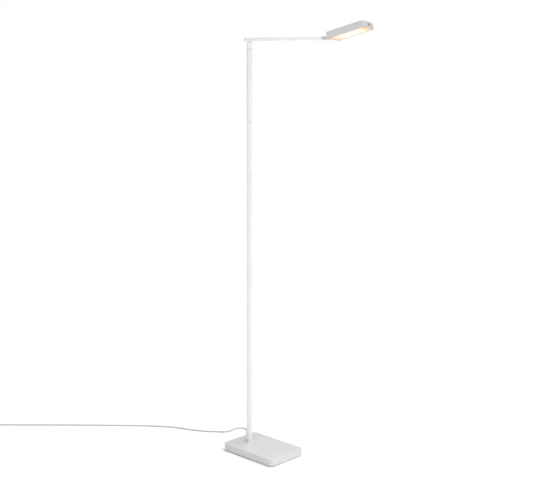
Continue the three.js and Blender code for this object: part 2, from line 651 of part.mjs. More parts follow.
// Flat two-pin plug with a tapered boot, built along Y and turned to point to -X.
function plugParts() {
  const outline = new THREE.Shape();
  outline.moveTo(-6, 0);
  outline.lineTo(6, 0);
  outline.lineTo(13, 12);
  outline.lineTo(16, 34);
  outline.lineTo(-16, 34);
  outline.lineTo(-13, 12);
  outline.closePath();
  const shell = new THREE.ExtrudeGeometry(outline, {
    depth: 9,
    bevelThickness: 2,
    bevelSize: 1.5,
    bevelSegments: 2,
  }).translate(0, 16, -4.5);
  const boot = turned([[0, 0], [3.4, 0], [4.6, 17], [0, 17]], 16).rotateX(-Math.PI / 2);
  const socket = (x) => rod(2 + GAP, -6, 6, 12).rotateX(-Math.PI / 2).translate(x, 53, 0);
  const body = cut(join(shell, boot), socket(-9), socket(9));
  const pin = (x) =>
    turned([[0, 0], [2, 0], [2, 21.5], [1.2, 22.5], [0, 22.5]], 12)
      .rotateX(-Math.PI / 2)
      .translate(x, 47.6, 0);

  const group = new THREE.Group();
  group.position.set(...PLUG_ORIGIN);
  group.rotation.z = Math.PI / 2;
  group.add(
    mesh("plug_body", body, WHITE_PLASTIC),
    mesh("plug_pin_1", pin(-9), BRASS),
    mesh("plug_pin_2", pin(9), BRASS),
  );
  return group;
}

// ---------- assembly ----------
const head = new THREE.Group();
head.position.set(HINGE_X, 0, ARM_Z);
head.rotation.y = rad(-HEAD_TILT);
head.add(...headParts());

const arm = new THREE.Group();
arm.position.set(POLE_X, 0, 0);
arm.rotation.z = rad(ARM_TURN);
arm.add(...armParts(), head);

const lamp = new THREE.Group();
lamp.add(...baseParts(), poleParts(), poleWires(), arm, ...cordParts(), plugParts());

export default lamp;
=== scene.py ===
"""Slim floor-standing reading lamp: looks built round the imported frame.

Shapes are written in millimetres in the frame of the piece that they belong to, and
place() puts them into the lamp's frame in metres. Origin: middle of the base's
underside, +Z up, the base's long side along X.
"""

import json
from math import cos, pi, radians, sin, sqrt

import bmesh
import bpy
from mathutils import Matrix, Vector


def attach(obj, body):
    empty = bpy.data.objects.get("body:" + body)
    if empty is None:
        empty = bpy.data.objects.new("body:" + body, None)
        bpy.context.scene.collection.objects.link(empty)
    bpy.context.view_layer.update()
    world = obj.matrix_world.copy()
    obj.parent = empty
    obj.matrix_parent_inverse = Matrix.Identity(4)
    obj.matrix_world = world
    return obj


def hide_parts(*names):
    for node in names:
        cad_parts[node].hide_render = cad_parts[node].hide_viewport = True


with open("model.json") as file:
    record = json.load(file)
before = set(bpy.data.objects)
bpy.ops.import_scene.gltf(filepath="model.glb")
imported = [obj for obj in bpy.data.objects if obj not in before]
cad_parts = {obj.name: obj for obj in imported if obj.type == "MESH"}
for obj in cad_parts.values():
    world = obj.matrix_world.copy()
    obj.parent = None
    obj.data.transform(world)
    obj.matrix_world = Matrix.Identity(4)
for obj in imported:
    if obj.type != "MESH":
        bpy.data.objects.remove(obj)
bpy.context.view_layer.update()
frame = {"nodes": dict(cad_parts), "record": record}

# ---------- driving dimensions, in millimetres ----------
MM = 0.001
GAP = 0.3  # between two pieces

PAD_THICKNESS = 2
BASE_LENGTH = 240
BASE_WIDTH = 160
BASE_TOP = 25
BASE_BOTTOM = PAD_THICKNESS + GAP
BASE_CORNER = 15
BASE_EDGE = 1.5
COVER_WALL = 2.5

POLE_X = -67.5
POLE_RADIUS = 10
TUBE_WALL = 1.5
POLE_SEAM = 1162.5
SEAM_GAP = 0.6
POLE_TOP = 1422
COLLAR_BOTTOM = POLE_TOP + 1.5
STOP_HEIGHT = 1408
STOP_HOLE = 2.35

ARM_TURN = 26
ARM_WIDTH = 22
ARM_HEIGHT = 13
ARM_Z = 1457.5
ARM_REAR = -16.3
ARM_FRONT = 270
ARM_EDGE = 1.6
CAP_THICKNESS = 1.5

HINGE_X = 279.5
HUB_RADIUS = 6.5
TONGUE_HALF = 4.2
TONGUE_END_HALF = 4.4  # half the height of its square end
PIN_HOLE = 2.8
SLOT_HALF = 5.4
SLOT_DEPTH = 9.2
YOKE_SCREW_Y = 14
HEAD_TILT = 17
HEAD_LENGTH = 135
HEAD_WIDTH = 160
HEAD_HEIGHT = 24
HEAD_START = 25.4
HEAD_BOTTOM = -14.5
HEAD_WALL = 2.2
HEAD_CORNER = 8
HEAD_EDGE = 2.5
PANEL_THICKNESS = 2.5
PANEL_SCREW_INSET = 8.7
GLOW_RIM = 34  # width of the warmer rim of the lit panel
GLOW_ROUNDING = 12
BUTTON_Y = 6
BUTTON_Z = -2.5
BUTTON_RADIUS = 5

CORD_DIAMETER = 4.8
FLOOR_RUN = CORD_DIAMETER / 2 + 0.05  # height of the cord's middle on the floor
GLAND_Y = 60
GLAND_Z = 7.5
GLAND_OUT = 12.5  # from the wall's outside to the boot's tip
GLAND_IN = 8  # from the wall's inside to the boot's inner end
GLAND_HOLE = 4.1
COIL_RADIUS = 27.5
COIL_BOTTOM = 1.2
COIL_CENTRE = (-965.3, -511.0)
COIL_START = -45.7
COIL_TURNS = 4.045
TIE_ANGLE = 150
PLUG_ORIGIN = (-1006.6, -549, 6.6)
PLUG_PIN_X = 9

# The noise textures stay mostly between these two values.
NOISE_LOW = 0.3
NOISE_HIGH = 0.7

# Strengths of the light in the surroundings.
BACKDROP = 1.0
FILL = 0.20
FLOOR_GLOW = 0.04

# The frames that the pieces are drawn in, still in millimetres.
POLE_FRAME = Matrix.Translation((POLE_X, 0, 0))
ARM_FRAME = POLE_FRAME @ Matrix.Rotation(radians(ARM_TURN), 4, "Z") @ Matrix.Translation((0, 0, ARM_Z))
HEAD_FRAME = (
    ARM_FRAME
    @ Matrix.Translation((HINGE_X, 0, 0))
    @ Matrix.Rotation(radians(-HEAD_TILT), 4, "Y")
)
COIL_FRAME = Matrix.Translation((*COIL_CENTRE, 0))
PLUG_FRAME = Matrix.Translation(PLUG_ORIGIN) @ Matrix.Rotation(radians(90), 4, "Z")

# Turn a piece drawn along Z so that it lies along X, Y, or -X.
TO_X = Matrix.Rotation(radians(90), 4, "Y")
TO_Y = Matrix.Rotation(radians(-90), 4, "X")
TO_MINUS_X = Matrix.Rotation(radians(-90), 4, "Y")


# ---------- camera ----------
def add_camera():
    data = bpy.data.cameras.new("camera")
    data.sensor_width = 36
    data.lens = 65.85
    data.shift_y = -0.2792
    camera = bpy.data.objects.new("camera", data)
    camera.location = (2.4028, -2.4550, 1.2731)
    camera.rotation_euler = (radians(90), 0, radians(44.17))
    bpy.context.scene.collection.objects.link(camera)
    bpy.context.scene.camera = camera


# ---------- mains cord ----------
# From the strain relief down to the floor, round the bend behind the pole, then away.
CORD_ROUTE = [
    (-132.8, 60, 7.5), (-140, 60.5, 7), (-147, 62.5, 5.5), (-153, 66.5, 3.8), (-159, 73.5, 2.6),
    (-168, 86, FLOOR_RUN), (-184, 105, FLOOR_RUN), (-203, 119, FLOOR_RUN), (-215, 122, FLOOR_RUN),
    (-226, 119, FLOOR_RUN), (-235, 110, FLOOR_RUN), (-239, 98, FLOOR_RUN), (-238, 86, FLOOR_RUN),
    (-236, 75, FLOOR_RUN), (-236, 64, FLOOR_RUN), (-239, 54, FLOOR_RUN), (-245, 44, FLOOR_RUN),
    (-254, 35, FLOOR_RUN), (-272, 21, FLOOR_RUN), (-300, 0, FLOOR_RUN), (-331, -18, FLOOR_RUN),
    (-363, -33, FLOOR_RUN), (-391, -43, FLOOR_RUN), (-418, -55, FLOOR_RUN), (-462, -84, FLOOR_RUN),
    (-509, -120, FLOOR_RUN), (-557, -163, FLOOR_RUN), (-606, -208, FLOOR_RUN), (-711, -304, FLOOR_RUN),
    (-849, -436, FLOOR_RUN), (-890, -476, FLOOR_RUN), (-930.9, -515.9, FLOOR_RUN),
]
# From the coil to the plug, which lies beside it.
TAIL_ROUTE = [
    (-972, -545.9, 8.4), (-982, -547, 5.6), (-991, -548.3, 5.2), (-999, -549, 6.4), (-1006, -549, 6.6),
]


def ramp(value, start, end):
    """0 before start, 1 after end, and a smooth step between them."""
    share = min(max((value - start) / (end - start), 0), 1)
    return share * share * (3 - 2 * share)


def coil_points(per_turn=24):
    """Four turns, two beside each other and two on top: outer, inner, inner above, outer above."""
    points = []
    steps = round(COIL_TURNS * per_turn)
    half = CORD_DIAMETER / 2
    for i in range(steps + 1):
        turn = COIL_TURNS * i / steps
        inward = ramp(turn, 0.88, 1.06) - ramp(turn, 2.92, 3.1)
        radius = COIL_RADIUS + half - CORD_DIAMETER * inward
        height = COIL_BOTTOM + half + CORD_DIAMETER * ramp(turn, 1.88, 2.06)
        angle = radians(COIL_START - 360 * turn)
        x = COIL_CENTRE[0] + radius * cos(angle)
        y = COIL_CENTRE[1] + radius * sin(angle)
        points.append((x, y, height))
    return points


def smooth_path(points, pieces):
    """A centripetal Catmull-Rom curve through the points, cut into short straight pieces."""
    knots = [Vector(p) for p in points]
    knots = [2 * knots[0] - knots[1], *knots, 2 * knots[-1] - knots[-2]]
    path = []
    for a, b, c, d in zip(knots, knots[1:], knots[2:], knots[3:]):
        t1 = sqrt((b - a).length)
        t2 = t1 + sqrt((c - b).length)
        t3 = t2 + sqrt((d - c).length)
        for i in range(pieces):
            t = t1 + (t2 - t1) * i / pieces
            ab = a + (b - a) * t / t1
            bc = b + (c - b) * (t - t1) / (t2 - t1)
            cd = c + (d - c) * (t - t2) / (t3 - t2)
            abc = ab + (bc - ab) * t / t2
            bcd = bc + (cd - bc) * (t - t1) / (t3 - t1)
            path.append(abc + (bcd - abc) * (t - t1) / (t2 - t1))
    path.append(knots[-2])
    return path


def add_cord():
    path = smooth_path([*CORD_ROUTE, *coil_points(), *TAIL_ROUTE], 4)
    for point in path:
        point.z = max(point.z, CORD_DIAMETER / 2)
    data = bpy.data.curves.new("mains_lead", "CURVE")
    data.dimensions = "3D"
    data.bevel_depth = CORD_DIAMETER / 2 * MM
    data.bevel_resolution = 5
    data.use_fill_caps = True
    spline = data.splines.new("POLY")
    spline.points.add(len(path) - 1)
    for point, spot in zip(spline.points, path):
        point.co = (*(spot * MM), 1)
    spline.use_smooth = True
    cord = bpy.data.objects.new("mains_lead", data)
    bpy.context.scene.collection.objects.link(cord)
    return cord


# ---------- node materials ----------
def new_material(name):
    material = bpy.data.materials.new(name)
    material.use_nodes = True
    nodes = material.node_tree.nodes
    shader = nodes["Principled BSDF"]
    return material, nodes, material.node_tree.links, shader


def noise(nodes, links, scale, detail=3.0, stretch=(1, 1, 1)):
    """Object-space noise; scale is in cycles per metre."""
    coordinates = nodes.new("ShaderNodeTexCoord")
    mapping = nodes.new("ShaderNodeMapping")
    mapping.inputs["Scale"].default_value = stretch
    texture = nodes.new("ShaderNodeTexNoise")
    texture.inputs["Scale"].default_value = scale
    texture.inputs["Detail"].default_value = detail
    links.new(coordinates.outputs["Object"], mapping.inputs["Vector"])
    links.new(mapping.outputs["Vector"], texture.inputs["Vector"])
    return texture.outputs["Fac"]


def span(nodes, links, source, low, high):
    """A number that goes from low to high as the noise goes over its range."""
    node = nodes.new("ShaderNodeMapRange")
    node.inputs["From Min"].default_value = NOISE_LOW
    node.inputs["From Max"].default_value = NOISE_HIGH
    node.inputs["To Min"].default_value = low
    node.inputs["To Max"].default_value = high
    links.new(source, node.inputs["Value"])
    return node.outputs["Result"]


def two_tone(nodes, links, source, first, second):
    """A colour that goes from the first to the second as the noise goes over its range."""
    node = nodes.new("ShaderNodeValToRGB")
    node.color_ramp.elements[0].position = NOISE_LOW
    node.color_ramp.elements[0].color = (*first, 1)
    node.color_ramp.elements[1].position = NOISE_HIGH
    node.color_ramp.elements[1].color = (*second, 1)
    links.new(source, node.inputs["Fac"])
    return node.outputs["Color"]


def bump(nodes, links, source, depth, strength=1.0, under=None):
    """depth is the height of the relief, in metres."""
    node = nodes.new("ShaderNodeBump")
    node.inputs["Strength"].default_value = strength
    node.inputs["Distance"].default_value = depth
    links.new(source, node.inputs["Height"])
    if under is not None:
        links.new(under, node.inputs["Normal"])
    return node.outputs["Normal"]


def powder_coat(name, first, second, metallic=0.0):
    """Satin paint: a fine orange peel, faint cloudiness and uneven gloss."""
    material, nodes, links, shader = new_material(name)
    cloud = noise(nodes, links, 14, 4)
    peel = noise(nodes, links, 1100, 2)
    ripple = noise(nodes, links, 260, 2)
    links.new(two_tone(nodes, links, cloud, first, second), shader.inputs["Base Color"])
    links.new(span(nodes, links, ripple, 0.34, 0.46), shader.inputs["Roughness"])
    relief = bump(nodes, links, ripple, 0.00006, 0.5)
    links.new(bump(nodes, links, peel, 0.00004, 0.6, relief), shader.inputs["Normal"])
    shader.inputs["Metallic"].default_value = metallic
    shader.inputs["Coat Weight"].default_value = 0.12
    shader.inputs["Coat Roughness"].default_value = 0.25
    return material


def moulded(name, first, second, rough, grain=900, depth=0.00005):
    """Moulded plastic or rubber with a fine spark-eroded grain."""
    material, nodes, links, shader = new_material(name)
    cloud = noise(nodes, links, 30, 3)
    texture = noise(nodes, links, grain, 3)
    links.new(two_tone(nodes, links, cloud, first, second), shader.inputs["Base Color"])
    links.new(span(nodes, links, texture, rough - 0.06, rough + 0.06), shader.inputs["Roughness"])
    links.new(bump(nodes, links, texture, depth, 0.7), shader.inputs["Normal"])
    return material


def metal(name, first, second, rough, stretch=(1, 1, 1), grain=700, depth=0.00003):
    """Bare metal; the stretch draws its grain out into brush or lathe marks."""
    material, nodes, links, shader = new_material(name)
    stain = noise(nodes, links, 40, 4)
    marks = noise(nodes, links, grain, 4, stretch)
    links.new(two_tone(nodes, links, stain, first, second), shader.inputs["Base Color"])
    links.new(span(nodes, links, marks, rough - 0.08, rough + 0.1), shader.inputs["Roughness"])
    links.new(bump(nodes, links, marks, depth, 0.6), shader.inputs["Normal"])
    shader.inputs["Metallic"].default_value = 1.0
    return material


def lit_panel(name):
    """Opal sheet lit from behind: white in the middle, warmer and dimmer towards its rim.
    Its UV map holds the distance across and along the sheet, in metres."""
    material, nodes, links, shader = new_material(name)
    sheet_map = nodes.new("ShaderNodeUVMap")
    sheet_map.uv_map = "sheet"
    split = nodes.new("ShaderNodeSeparateXYZ")
    links.new(sheet_map.outputs["UV"], split.inputs["Vector"])
    sides = []
    for axis, size in (("X", HEAD_LENGTH), ("Y", HEAD_WIDTH)):
        away = nodes.new("ShaderNodeMath")
        away.operation = "ABSOLUTE"
        links.new(split.outputs[axis], away.inputs[0])
        inside = nodes.new("ShaderNodeMath")
        inside.operation = "SUBTRACT"
        inside.inputs[0].default_value = (size / 2 - HEAD_WALL) * MM
        links.new(away.outputs[0], inside.inputs[1])
        sides.append(inside.outputs[0])
    nearest = nodes.new("ShaderNodeMath")
    nearest.operation = "SMOOTH_MIN"
    nearest.inputs[2].default_value = GLOW_ROUNDING * MM
    links.new(sides[0], nearest.inputs[0])
    links.new(sides[1], nearest.inputs[1])
    share = nodes.new("ShaderNodeMapRange")
    share.inputs["From Max"].default_value = GLOW_RIM * MM
    links.new(nearest.outputs[0], share.inputs["Value"])
    glow = nodes.new("ShaderNodeValToRGB")
    stops = [
        (0.0, (0.60, 0.36, 0.23)),
        (0.22, (0.74, 0.49, 0.33)),
        (0.48, (0.88, 0.62, 0.38)),
        (0.76, (1.0, 0.90, 0.50)),
        (1.0, (1.0, 0.99, 0.86)),
    ]
    while len(glow.color_ramp.elements) < len(stops):
        glow.color_ramp.elements.new(0.5)
    for element, (position, colour) in zip(glow.color_ramp.elements, stops):
        element.position = position
        element.color = (*colour, 1)
    links.new(share.outputs["Result"], glow.inputs["Fac"])
    frosting = noise(nodes, links, 1500, 2)
    links.new(glow.outputs["Color"], shader.inputs["Emission Color"])
    links.new(span(nodes, links, frosting, 0.38, 0.5), shader.inputs["Roughness"])
    links.new(bump(nodes, links, frosting, 0.00003, 0.4), shader.inputs["Normal"])
    shader.inputs["Base Color"].default_value = (0.04, 0.03, 0.02, 1)
    shader.inputs["Specular IOR Level"].default_value = 0.25
    shader.inputs["Emission Strength"].default_value = 1.0
    return material


MATERIALS = {
    "white_paint": powder_coat("white_paint", (0.67, 0.67, 0.665), (0.69, 0.69, 0.685)),
    "tube_paint": powder_coat("tube_paint", (0.86, 0.86, 0.855), (0.88, 0.88, 0.875)),
    "white_aluminium": powder_coat("white_aluminium", (0.89, 0.89, 0.885), (0.91, 0.91, 0.905)),
    "head_paint": powder_coat("head_paint", (0.64, 0.625, 0.635), (0.66, 0.645, 0.655)),
    "white_plastic": moulded("white_plastic", (0.68, 0.68, 0.675), (0.71, 0.71, 0.70), 0.42),
    "black_rubber": moulded("black_rubber", (0.020, 0.020, 0.021), (0.035, 0.035, 0.036), 0.8, 1600, 0.0001),
    "black_plastic": moulded("black_plastic", (0.012, 0.012, 0.014), (0.022, 0.022, 0.025), 0.35),
    "cast_iron": moulded("cast_iron", (0.040, 0.040, 0.043), (0.075, 0.075, 0.08), 0.62, 420, 0.0003),
    "blackened_steel": metal("blackened_steel", (0.030, 0.028, 0.027), (0.050, 0.047, 0.045), 0.45),
    "bright_steel": metal("bright_steel", (0.56, 0.57, 0.58), (0.68, 0.69, 0.70), 0.3),
    "bare_aluminium": metal("bare_aluminium", (0.66, 0.67, 0.68), (0.76, 0.77, 0.78), 0.36, (1, 1, 12)),
    "board_white": moulded("board_white", (0.80, 0.80, 0.78), (0.86, 0.86, 0.84), 0.3, 1200, 0.00002),
    "opal_diffuser": lit_panel("opal_diffuser"),
    "brass": metal("brass", (0.70, 0.53, 0.26), (0.82, 0.64, 0.33), 0.26, (12, 1, 1)),
    "cord_sheath": moulded("cord_sheath", (0.47, 0.47, 0.465), (0.52, 0.52, 0.515), 0.38, 700, 0.00003),
}


# ---------- mesh helpers ----------
def place(made, name, home, slot, body, replaced=(), soften=0.0, steps=3):
    """Turns a bmesh drawn in millimetres into a named piece that rides on its body."""
    bmesh.ops.remove_doubles(made, verts=made.verts, dist=0.001)
    bmesh.ops.recalc_face_normals(made, faces=made.faces)
    if soften:
        edges = [e for e in made.edges if e.is_manifold and e.calc_face_angle() > radians(32)]
        bmesh.ops.bevel(
            made,
            geom=edges,
            offset=soften,
            segments=steps,
            profile=0.5,
            affect="EDGES",
            clamp_overlap=True,
        )
    made.transform(Matrix.Scale(MM, 4) @ home)
    data = bpy.data.meshes.new(name)
    made.to_mesh(data)
    made.free()
    data.shade_smooth()
    data.set_sharp_from_angle(angle=radians(38))
    piece = bpy.data.objects.new(name, data)
    bpy.context.scene.collection.objects.link(piece)
    dress(piece, slot)
    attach(piece, body)
    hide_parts(*replaced)
    return piece


def dress(piece, slot):
    piece.data.materials.clear()
    piece.data.materials.append(MATERIALS[slot])


def loft(rings, closed=False):
    """Skin over rings of points with the same count; the ends are capped unless it closes on itself."""
    made = bmesh.new()
    rows = [[made.verts.new(point) for point in ring] for ring in rings]
    count = len(rows[0])
    pairs = list(zip(rows, rows[1:]))
    if closed:
        pairs.append((rows[-1], rows[0]))
    for low, high in pairs:
        for i in range(count):
            j = (i + 1) % count
            made.faces.new((low[i], low[j], high[j], high[i]))
    if not closed:
        made.faces.new(rows[0])
        made.faces.new(rows[-1])
    return made


def circle(radius, height, sides):
    angles = [2 * pi * i / sides for i in range(sides)]
    return [(radius * cos(angle), radius * sin(angle), height) for angle in angles]


def turned(profile, sides=48, closed=False):
    """A solid of revolution about Z from (radius, height) pairs; a closed one has a bore."""
    return loft([circle(max(radius, 0.01), height, sides) for radius, height in profile], closed)


def rounded_ring(length, width, corner, inset, height, steps=8):
    """A rounded rectangle, shrunk by inset on every side, at one height."""
    radius = max(corner - inset, 0.2)
    x = length / 2 - inset - radius
    y = width / 2 - inset - radius
    points = []
    for centre_x, centre_y, start in ((x, y, 0), (-x, y, 90), (-x, -y, 180), (x, -y, 270)):
        for i in range(steps + 1):
            angle = radians(start + 90 * i / steps)
            points.append((centre_x + radius * cos(angle), centre_y + radius * sin(angle), height))
    return points


def shell(length, width, corner, profile, steps=8):
    """A lofted rounded rectangle from (inset, height) pairs."""
    return loft([rounded_ring(length, width, corner, inset, height, steps) for inset, height in profile])


def quarter(edge, inset, height, steps=6):
    """(inset, height) pairs of a quarter round that ends an upright wall at its top."""
    pairs = []
    for i in range(steps + 1):
        angle = radians(90 * i / steps)
        pairs.append((inset + edge * (1 - cos(angle)), height - edge * (1 - sin(angle))))
    return pairs


def prism(outline, half_width):
    """An outline in X and Z, drawn out to both sides along Y."""
    rings = [[(x, y, z) for x, z in outline] for y in (-half_width, half_width)]
    return loft(rings)


def carve(made, *cutters):
    """The first bmesh less the others, by an exact boolean."""
    objects = []
    for i, solid in enumerate((made, *cutters)):
        bmesh.ops.recalc_face_normals(solid, faces=solid.faces)
        data = bpy.data.meshes.new(f"carve_{i}")
        solid.to_mesh(data)
        solid.free()
        objects.append(bpy.data.objects.new(f"carve_{i}", data))
        bpy.context.scene.collection.objects.link(objects[-1])
    target = objects[0]
    for cutter in objects[1:]:
        modifier = target.modifiers.new("carve", "BOOLEAN")
        modifier.operation = "DIFFERENCE"
        modifier.solver = "EXACT"
        modifier.object = cutter
    result = bmesh.new()
    result.from_object(target, bpy.context.evaluated_depsgraph_get())
    for item in objects:
        data = item.data
        bpy.data.objects.remove(item)
        bpy.data.meshes.remove(data)
    return result


def block(x0, x1, y0, y1, z0, z1):
    corners = [(x0, y0), (x1, y0), (x1, y1), (x0, y1)]
    return loft([[(x, y, z) for x, y in corners] for z in (z0, z1)])


def shifted(made, x=0.0, y=0.0, z=0.0, turn=None):
    if turn is not None:
        made.transform(turn)
    made.transform(Matrix.Translation((x, y, z)))
    return made


def cross_recess(size, depth, top):
    """Two crossed slots for a screwdriver, from just above the head's top downwards."""
    thin = size * 0.28
    return [
        block(-size, size, -thin, thin, top - depth, top + 1),
        block(-thin, thin, -size, size, top - depth, top + 1),
    ]


def screw_head(radius, height):
    """A domed head from z = 0 up to height, with a crossed recess."""
    steps = 6
    profile = [(radius, 0), (radius, height * 0.35)]
    for i in range(1, steps + 1):
        angle = radians(90 * i / steps)
        profile.append((radius * cos(angle) * 0.98 + 0.01, height * (0.35 + 0.65 * sin(angle))))
    return carve(turned(profile, 32), *cross_recess(radius * 0.55, height * 0.5, height))


# ---------- base ----------
def add_base():
    ceiling = BASE_TOP - COVER_WALL
    cover = shell(
        BASE_LENGTH,
        BASE_WIDTH,
        BASE_CORNER,
        [
            (COVER_WALL, ceiling),
            (COVER_WALL, BASE_BOTTOM),
            (0.4, BASE_BOTTOM),
            (0, BASE_BOTTOM + 0.4),
            *quarter(BASE_EDGE, 0, BASE_TOP),
        ],
        16,
    )
    cord_hole = turned([(GLAND_HOLE, -6), (GLAND_HOLE, 6)], 40)
    shifted(cord_hole, -BASE_LENGTH / 2, GLAND_Y, GLAND_Z, TO_X)
    place(carve(cover, cord_hole), "base_cover_shell", Matrix(), "white_paint", "stand", ["base_cover"])

    border = 5
    pad = shell(
        BASE_LENGTH - 2 * border,
        BASE_WIDTH - 2 * border,
        BASE_CORNER - border,
        [(0.3, 0), (0, 0.3), (0, PAD_THICKNESS - 0.3), (0.3, PAD_THICKNESS)],
        12,
    )
    recess = shifted(turned([(13, -1), (13, 3)]), x=POLE_X)
    place(carve(pad, recess), "anti_slip_sheet", Matrix(), "black_rubber", "stand", ["anti_slip_pad"])


def add_strain_relief():
    """A sleeve through the wall, a collar against it and a tapered boot with grooves that let it bend."""
    wall = BASE_LENGTH / 2
    inner_end = -COVER_WALL - GLAND_IN
    profile = [(2.4, inner_end), (3.9, inner_end), (3.9, 0.35), (5, 0.35), (5, 2.1), (4.7, 2.4), (4.25, 2.6)]
    grooves = 4
    for i in range(grooves):
        start = 3.4 + i * 2.1
        outer = 4.2 - 0.8 * (start - 3) / (GLAND_OUT - 3)
        profile += [
            (outer, start),
            (outer - 0.5, start + 0.2),
            (outer - 0.55, start + 0.8),
            (outer - 0.05, start + 1),
        ]
    profile += [(3.35, GLAND_OUT - 0.3), (3.0, GLAND_OUT), (2.4, GLAND_OUT)]
    boot = turned(profile, 40, closed=True)
    home = Matrix.Translation((-wall, GLAND_Y, GLAND_Z)) @ TO_MINUS_X
    return place(boot, "strain_relief_boot", home, "white_plastic", "stand", ["cord_strain_relief"], 0.1, 2)


# ---------- pole ----------
def tube_profile(outer, inner, bottom, top, edge=0.5):
    return [
        (inner, bottom),
        (outer - edge, bottom),
        (outer, bottom + edge),
        (outer, top - edge),
        (outer - edge, top),
        (inner, top),
    ]


def add_pole():
    bore = POLE_RADIUS - TUBE_WALL
    foot = BASE_TOP + GAP
    lower = turned(tube_profile(POLE_RADIUS, bore, foot, POLE_SEAM - SEAM_GAP), 96, closed=True)
    place(lower, "pole_lower_tube", POLE_FRAME, "tube_paint", "stand", ["lower_pole_tube"])

    upper = turned(tube_profile(POLE_RADIUS, bore, POLE_SEAM + SEAM_GAP, POLE_TOP - GAP), 96, closed=True)
    hole = shifted(turned([(STOP_HOLE, -12), (STOP_HOLE, -5)], 24), z=STOP_HEIGHT, turn=TO_X)
    place(carve(upper, hole), "pole_upper_tube", POLE_FRAME, "tube_paint", "stand", ["upper_pole_tube"])


# ---------- arm ----------
def add_arm():
    profile = tube_profile(POLE_RADIUS, 5.3, COLLAR_BOTTOM - ARM_Z, -ARM_HEIGHT / 2 - GAP, 0.6)
    collar = turned(profile, 96, closed=True)
    place(collar, "swivel_collar", ARM_FRAME, "white_aluminium", "arm", ["arm_collar"])

    rear = ARM_REAR + CAP_THICKNESS + GAP
    inner = 1.5
    tube = shell(
        ARM_HEIGHT,
        ARM_WIDTH,
        ARM_EDGE,
        [
            (inner, rear + 6),
            (inner, rear),
            (0, rear),
            (0, ARM_FRONT),
            (inner, ARM_FRONT),
            (inner, ARM_FRONT - 0.9),
        ],
        6,
    )
    place(tube, "arm_square_tube", ARM_FRAME @ TO_X, "white_aluminium", "arm", ["arm_tube"], 0.15, 2)

    cap = shell(
        ARM_HEIGHT,
        ARM_WIDTH,
        ARM_EDGE,
        [(0.9, ARM_REAR), (0.25, ARM_REAR + 0.2), (0, ARM_REAR + 0.8), (0, ARM_REAR + CAP_THICKNESS)],
        6,
    )
    place(cap, "arm_end_cap", ARM_FRAME @ TO_X, "white_plastic", "arm", ["arm_rear_cap"])


def hub_outline(radius, end, low, high, steps=20):
    """Side view of a lug: half round about the tilt axis, then straight to its end."""
    outline = []
    for i in range(steps + 1):
        angle = radians(90 + 180 * i / steps)
        outline.append((radius * cos(angle), radius * sin(angle)))
    return [*outline, (end, low), (end, high)]


def add_tongue():
    radius = HUB_RADIUS - GAP
    lug = prism(hub_outline(radius, HINGE_X - ARM_FRONT + 1, -TONGUE_END_HALF, TONGUE_END_HALF), TONGUE_HALF)
    lug.transform(Matrix.Rotation(radians(180), 4, "Z"))
    hole = shifted(turned([(PIN_HOLE, -20), (PIN_HOLE, 20)], 32), turn=TO_Y)
    home = ARM_FRAME @ Matrix.Translation((HINGE_X, 0, 0))
    place(carve(lug, hole), "hinge_tongue", home, "bare_aluminium", "arm", ["arm_end_tongue"], 0.3)

    screw = screw_head(2.7, 1.3)
    below = Matrix.Translation((ARM_FRONT - 12, 0, -ARM_HEIGHT / 2 - GAP)) @ Matrix.Rotation(pi, 4, "X")
    place(screw, "tongue_fixing_screw", ARM_FRAME @ below, "bright_steel", "arm", ["tongue_screw"])


# ---------- head ----------
def add_yoke():
    neck_end = HEAD_START - 2.9
    neck = prism(hub_outline(HUB_RADIUS, neck_end + 0.6, -13.0, 3.6), ARM_WIDTH / 2)
    slot = block(-HUB_RADIUS - 1, SLOT_DEPTH, -SLOT_HALF, SLOT_HALF, -20, 20)
    hole = shifted(turned([(PIN_HOLE, -20), (PIN_HOLE, 20)], 32), turn=TO_Y)
    place(carve(neck, slot, hole), "head_yoke_neck", HEAD_FRAME, "head_paint", "head", ["head_yoke"], 0.5)

    flange = block(neck_end, HEAD_START - GAP, -17, 17, -13.4, 6.8)
    place(flange, "head_yoke_flange", HEAD_FRAME, "head_paint", "head", (), 0.7)

    for number, y in enumerate((-YOKE_SCREW_Y, YOKE_SCREW_Y), 1):
        screw = screw_head(2.6, 1.6)
        home = HEAD_FRAME @ Matrix.Translation((neck_end, y, 3.6)) @ TO_MINUS_X
        place(screw, f"yoke_fixing_screw_{number}", home, "bright_steel", "head", [f"yoke_screw_{number}"])


def add_tilt_pin():
    """Button-headed pin with a hexagon socket on one side, and its round nut on the other."""
    face = ARM_WIDTH / 2 + GAP
    profile = [(2.4, -face - 13), (2.4, 0), (4.2, 0), (4.2, 0.6), (3.9, 1.2), (3.0, 1.55), (2.2, 1.6)]
    socket = turned([(1.45, 0.5), (1.45, 3)], 6)
    pin = carve(turned(profile, 48), socket)
    home = HEAD_FRAME @ Matrix.Translation((0, -face, 0)) @ Matrix.Rotation(radians(90), 4, "X")
    place(pin, "tilt_pin_button_head", home, "bright_steel", "head", ["tilt_pin"], 0.08, 2)

    nut = turned([(2.6, 0), (4.0, 0), (4.4, 0.4), (4.4, 2.1), (4.0, 2.5), (2.6, 2.5)], 48, closed=True)
    far = HEAD_FRAME @ Matrix.Translation((0, face, 0)) @ TO_Y
    place(nut, "tilt_pin_nut", far, "bright_steel", "head", ["tilt_lock_nut"])


